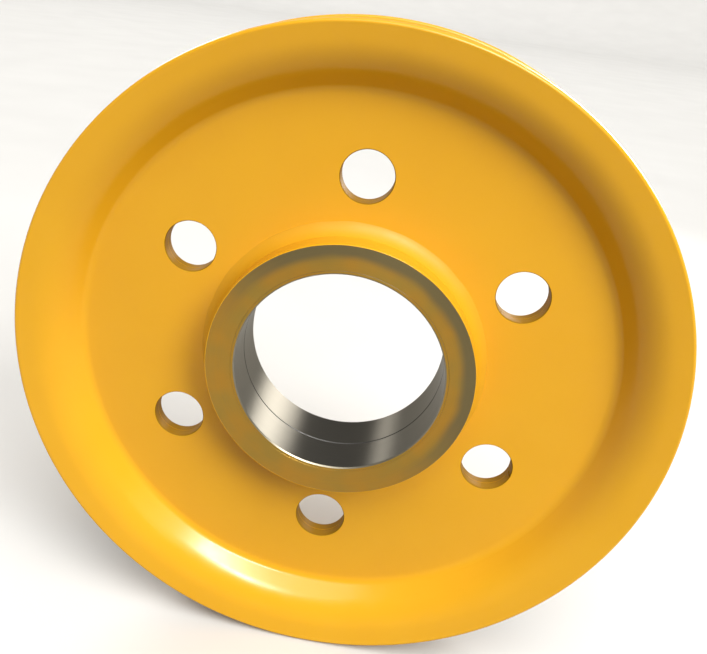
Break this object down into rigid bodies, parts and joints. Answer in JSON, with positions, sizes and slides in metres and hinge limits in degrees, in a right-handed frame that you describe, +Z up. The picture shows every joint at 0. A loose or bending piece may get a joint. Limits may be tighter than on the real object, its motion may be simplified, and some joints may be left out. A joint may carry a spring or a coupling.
{
  "type": "flanged track roller wheel",
  "caption": "Painted steel roller wheel with flared rims either side of a running channel, round lightening holes and a bushed hub that spins on a split inner race.",
  "frame": {"origin": "centre of the wheel, on the spin axis and on the middle plane of the web", "axes": "+Y along the spin axis, out of the back face; the front face looks along -Y; +Z is up and passes through the centre of one lightening hole; +X to the right seen from the front"},
  "size_m": [0.45, 0.0648, 0.45],
  "materials": {
    "yellow_paint": "glossy yellow-orange enamel with slight orange peel",
    "turned_ring_face": "turned face with an oiled olive-gold tint",
    "ground_steel": "fine turned and ground",
    "running_steel": "turned, bare",
    "bush_bronze": "machined bronze",
    "seal_rubber": "matt black nitrile"
  },
  "bodies": {
    "inner_race": {"front_race": "ground_steel", "back_race": "ground_steel", "race_clip": "ground_steel"},
    "wheel": {"front_disc": "yellow_paint", "back_disc": "yellow_paint", "front_groove_weld": "yellow_paint", "back_groove_weld": "yellow_paint", "hub_barrel": "yellow_paint", "front_hub_weld": "yellow_paint", "back_hub_weld": "yellow_paint", "front_thrust_ring": "turned_ring_face", "front_bush": "bush_bronze", "front_seal": "seal_rubber", "front_oring": "seal_rubber", "back_thrust_ring": "turned_ring_face", "back_bush": "bush_bronze", "back_seal": "seal_rubber", "back_oring": "seal_rubber", "groove_ring": "running_steel", "bush_spacer": "ground_steel"}
  },
  "joints": [
    {"name": "wheel_spin", "type": "hinge", "parent": "inner_race", "child": "wheel", "pos_m": [0, 0, 0], "axis": [0, 1, 0], "continuous": true}
  ]
}
